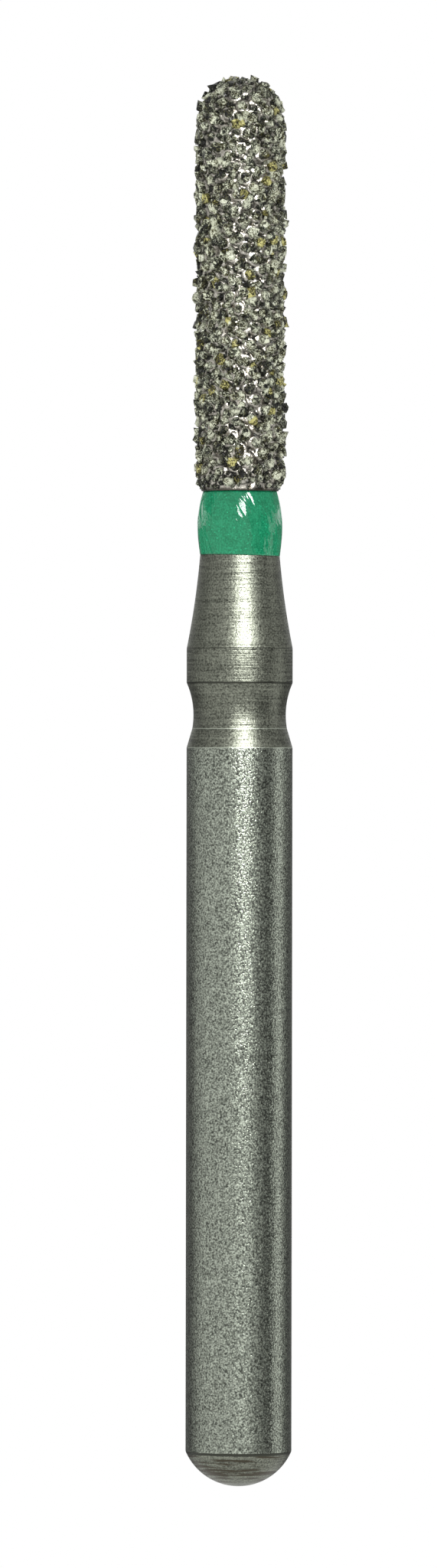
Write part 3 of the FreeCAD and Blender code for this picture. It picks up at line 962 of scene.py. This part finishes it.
class BUR_OT_studio(bpy.types.Operator):
    """Set up the camera, the white surround, the floor, the lamps and the panels that the metal mirrors"""

    bl_idname = "bur.studio"
    bl_label = "Studio"

    # Each panel spans two directions, in degrees round the bur from the camera's own, right positive,
    # and two heights in millimetres, and has a strength.
    PANELS = {
        "left_softbox": (-88, 15, -29, 22, 0.84),
        "left_upper": (-88, 15, 22, 85, 0.74),
        "left_fade": (-112, -88, -29, 18, 0.6),
        "left_edge_flag": (-172, -112, -29, 18, 0.17),
        "left_edge_light": (-172, -88, 18, 23, 1.1),
        "left_edge_high": (-172, -88, 23, 50, 0.2),
        "left_edge_top": (-172, -88, 50, 85, 0.7),
        "strip": (15, 30, -29, 31, 0.9),
        "key_window": (-2, 23, 31, 60, 34.0),
        "right_front": (30, 58, -29, 26, 0.36),
        "right_flag": (58, 84, -29, 26, 0.13),
        "right_light": (84, 106, -29, 26, 1.22),
        "right_upper": (30, 106, 26, 85, 0.45),
        "right_edge_flag": (108, 172, -29, 18, 0.15),
        "right_edge_light": (106, 172, 18, 23, 1.1),
        "right_edge_high": (106, 172, 23, 50, 0.2),
        "right_edge_top": (106, 172, 50, 85, 0.7),
    }

    def execute(self, context):
        studio = context.scene.bur_studio
        self.camera(context, studio)
        self.surround(context, studio)
        self.floor(context, studio)
        for name, (start, end, low, high, strength) in self.PANELS.items():
            wall = self.wall(studio, name, (start, end), (low * MM, high * MM))
            self.reflect(context, wall, strength)
        below, above = 1 * MM - studio.floor_drop, studio.ceiling
        self.reflect(context, self.disc(studio, "lower_disc", below), studio.from_below)
        self.reflect(context, self.disc(studio, "upper_disc", above), studio.from_above)
        self.fill(context, studio)
        return {"FINISHED"}

    def camera(self, context, studio):
        lens = bpy.data.cameras.new("camera")
        lens.sensor_fit = "VERTICAL"
        lens.sensor_height = 36.0
        lens.lens = lens.sensor_height * studio.distance / studio.frame_height
        lens.clip_start = 0.001
        lens.clip_end = 20.0
        camera = bpy.data.objects.new("camera", lens)
        upright = Matrix.Rotation(math.radians(90), 4, "X")
        lean = Matrix.Rotation(math.radians(-studio.lean), 4, "Y")
        place = Matrix.Translation((studio.aim_x, -studio.distance, studio.aim_z))
        camera.matrix_world = place @ lean @ upright
        context.scene.collection.objects.link(camera)
        context.scene.camera = camera
        context.scene.view_settings.view_transform = "Standard"

    def surround(self, context, studio):
        """A world that is plain white to the camera and to reflections, and dimmer as a light."""
        world = bpy.data.worlds.new("surround")
        board = cleared(world)
        path = board.add("ShaderNodeLightPath").outputs
        seen = board.math("ADD", path["Is Camera Ray"], path["Is Glossy Ray"])
        seen = board.math("ADD", seen, path["Is Transmission Ray"], use_clamp=True)
        ambient, white = (
            board.add("ShaderNodeBackground", {"Color": (1, 1, 1, 1), "Strength": strength}).outputs[0]
            for strength in (studio.ambient, 1.0)
        )
        both = board.add("ShaderNodeMixShader", {0: seen, 1: ambient, 2: white})
        board.add("ShaderNodeOutputWorld", {"Surface": both.outputs[0]})
        context.scene.world = world

    def floor(self, context, studio):
        """A white floor that takes the bur's shadow."""
        half, height, paper = 3.0, -studio.floor_drop, 0.8
        mesh = bpy.data.meshes.new("floor")
        corners = [(half * x, half * y, height) for x, y in ((-1, -1), (1, -1), (1, 1), (-1, 1))]
        mesh.from_pydata(corners, [], [(0, 1, 2, 3)])
        material = bpy.data.materials.new("white floor")
        board = cleared(material)
        sheet = board.add("ShaderNodeBsdfDiffuse", {"Color": (paper, paper, paper, 1)})
        glow = board.add("ShaderNodeEmission", {"Strength": 1.0 - paper * studio.ambient})
        both = board.add("ShaderNodeAddShader", {0: sheet.outputs[0], 1: glow.outputs[0]})
        board.add("ShaderNodeOutputMaterial", {"Surface": both.outputs[0]})
        mesh.materials.append(material)
        floor = bpy.data.objects.new("floor", mesh)
        context.scene.collection.objects.link(floor)

    def wall(self, studio, name, directions, heights):
        """A curved upright panel between two directions and two heights."""
        start, end = directions
        steps = max(2, int((end - start) / 4))
        verts = []
        for i in range(steps + 1):
            angle = math.radians(start + (end - start) * i / steps)
            x, y = studio.panel_radius * math.sin(angle), -studio.panel_radius * math.cos(angle)
            verts += [(x, y, height) for height in heights]
        faces = [(2 * i, 2 * i + 1, 2 * i + 3, 2 * i + 2) for i in range(steps)]
        mesh = bpy.data.meshes.new(name)
        mesh.from_pydata(verts, [], faces)
        return mesh

    def disc(self, studio, name, height):
        """A level disc above or below the bur, which its domes and tilted faces mirror."""
        sides = 24
        turns = [math.tau * i / sides for i in range(sides)]
        rim = [(studio.panel_radius * math.cos(a), studio.panel_radius * math.sin(a), height) for a in turns]
        mesh = bpy.data.meshes.new(name)
        mesh.from_pydata(rim, [], [tuple(range(sides))])
        return mesh

    def reflect(self, context, mesh, strength):
        """Puts a glowing panel on the stage that only reflections show."""
        mesh.materials.append(emitting(mesh.name, strength))
        thing = bpy.data.objects.new(mesh.name, mesh)
        thing.visible_camera = False
        thing.visible_shadow = False
        thing.visible_diffuse = False
        context.scene.collection.objects.link(thing)

    def fill(self, context, studio):
        """Two large soft lamps for the lacquer and the grit, kept out of the metal's reflections."""
        away, size = 90 * MM, 60 * MM
        for name, azimuth, height, power in (
            ("key", -30, 60, 0.025),
            ("fill", 50, 20, 0.01),
        ):
            lamp = bpy.data.lights.new(name, "AREA")
            lamp.size = size
            lamp.energy = power
            thing = bpy.data.objects.new(name, lamp)
            angle = math.radians(azimuth)
            place = Vector((away * math.sin(angle), -away * math.cos(angle), height * MM))
            aim = Vector((0, 0, studio.aim_z)) - place
            thing.matrix_world = Matrix.Translation(place) @ aim.to_track_quat("-Z", "Y").to_matrix().to_4x4()
            thing.visible_glossy = False
            context.scene.collection.objects.link(thing)


class BUR_PT_panel(bpy.types.Panel):
    """Lists the bur's operators and their sizes, colours and studio settings"""

    bl_label = "Diamond bur"
    bl_idname = "BUR_PT_panel"
    bl_space_type = "VIEW_3D"
    bl_region_type = "UI"
    bl_category = "Bur"

    def draw(self, context):
        for operator in OPERATORS:
            self.layout.operator(operator.bl_idname)
        for group in (context.scene.bur_sizes, context.scene.bur_finishes, context.scene.bur_studio):
            box = self.layout.box()
            for key in group.__annotations__:
                box.prop(group, key)


GROUPS = {"bur_sizes": BurSizes, "bur_finishes": BurFinishes, "bur_studio": BurStudio}
OPERATORS = (
    BUR_OT_steel_blank,
    BUR_OT_colour_ring,
    BUR_OT_nickel_bond,
    BUR_OT_large_grains,
    BUR_OT_fine_grit,
    BUR_OT_studio,
)


def register():
    for cls in (*GROUPS.values(), *OPERATORS, BUR_PT_panel):
        bpy.utils.register_class(cls)
    for name, group in GROUPS.items():
        setattr(bpy.types.Scene, name, bpy.props.PointerProperty(type=group))


def unregister():
    for name in GROUPS:
        delattr(bpy.types.Scene, name)
    for cls in reversed((*GROUPS.values(), *OPERATORS, BUR_PT_panel)):
        bpy.utils.unregister_class(cls)


def main():
    register()
    bpy.ops.bur.steel_blank()
    bpy.ops.bur.colour_ring()
    bpy.ops.bur.nickel_bond()
    bpy.ops.bur.large_grains()
    bpy.ops.bur.fine_grit()
    bpy.ops.bur.studio()


if __name__ == "__main__":
    main()
